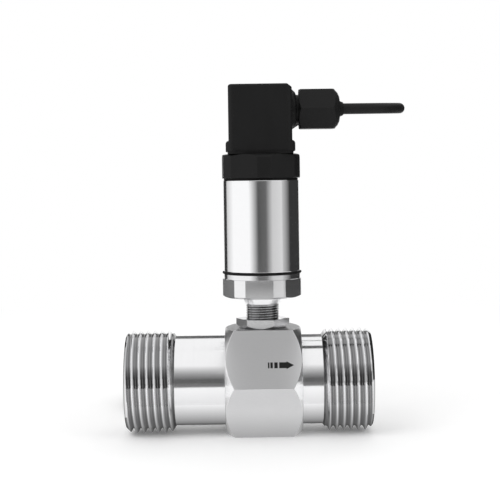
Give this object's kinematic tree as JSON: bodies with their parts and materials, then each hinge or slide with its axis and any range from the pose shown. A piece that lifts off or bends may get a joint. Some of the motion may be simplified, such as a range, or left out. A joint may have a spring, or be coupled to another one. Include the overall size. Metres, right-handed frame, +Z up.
{
  "type": "turbine flow meter",
  "caption": "Turbine flow meter: hexagon body with threaded ends, spinning rotor, magnetic pickup head and right-angle plug.",
  "frame": {"origin": "on the floor under the middle of the body's length", "axes": "+Z up along the pickup head, +X along the flow and towards the cable gland"},
  "size_m": [0.0989, 0.1055, 0.1125],
  "materials": {
    "machined_steel": "turned and milled stainless steel",
    "polished_steel": "polished stainless steel",
    "rotor_steel": "milled magnetic stainless steel",
    "carbide": "ground sintered carbide",
    "spring_steel": "rolled spring steel",
    "soft_iron": "turned soft iron",
    "magnet": "nickel plated magnet",
    "copper": "enamelled copper wire",
    "brass": "turned brass",
    "tinned_contact": "tin plated contact",
    "black_plastic": "moulded black nylon, fine texture",
    "block_plastic": "moulded dark grey nylon",
    "bobbin_plastic": "moulded natural nylon",
    "board": "green lacquered laminate",
    "chip_plastic": "moulded black package",
    "capacitor_can": "drawn aluminium can",
    "seal_rubber": "black nitrile rubber",
    "cable_jacket": "black extruded jacket",
    "strap": "black woven hook and loop strap",
    "core_red": "red core insulation",
    "core_yellow": "yellow core insulation",
    "core_black": "black core insulation"
  },
  "bodies": {
    "meter": {"meter_body": "machined_steel", "inlet_guide": "machined_steel", "outlet_guide": "machined_steel", "inlet_retaining_ring": "spring_steel", "outlet_retaining_ring": "spring_steel", "inlet_bearing": "carbide", "outlet_bearing": "carbide", "thrust_pads": "carbide", "lock_nut": "machined_steel", "pickup_body": "machined_steel", "pole_piece": "soft_iron", "coil_bobbin": "bobbin_plastic", "pickup_winding": "copper", "magnet": "magnet", "coil_leads": "copper", "lower_seal": "seal_rubber", "housing_sleeve": "polished_steel", "circuit_board": "board", "board_chips": "chip_plastic", "board_capacitors": "capacitor_can", "upper_seal": "seal_rubber", "connector_cap": "black_plastic", "contact_base": "block_plastic", "contact_blades": "tinned_contact", "screw_insert": "brass", "flat_gasket": "seal_rubber", "plug_housing": "black_plastic", "terminal_block": "block_plastic", "plug_contacts": "tinned_contact", "plug_screw": "polished_steel", "screw_seal": "seal_rubber", "gland_seal": "seal_rubber", "gland_washer": "bobbin_plastic", "gland_nut": "black_plastic", "cable_sleeve": "seal_rubber", "cable": "cable_jacket", "cable_coil": "cable_jacket", "cable_tail": "cable_jacket", "coil_tie": "strap", "supply_core": "core_red", "signal_core": "core_yellow", "return_core": "core_black"},
    "turbine": {"rotor": "rotor_steel", "rotor_shaft": "carbide"}
  },
  "joints": [
    {"name": "rotor_spin", "type": "hinge", "parent": "meter", "child": "turbine", "pos_m": [0.0047, 0, 0.017], "axis": [1, 0, 0], "continuous": true}
  ]
}
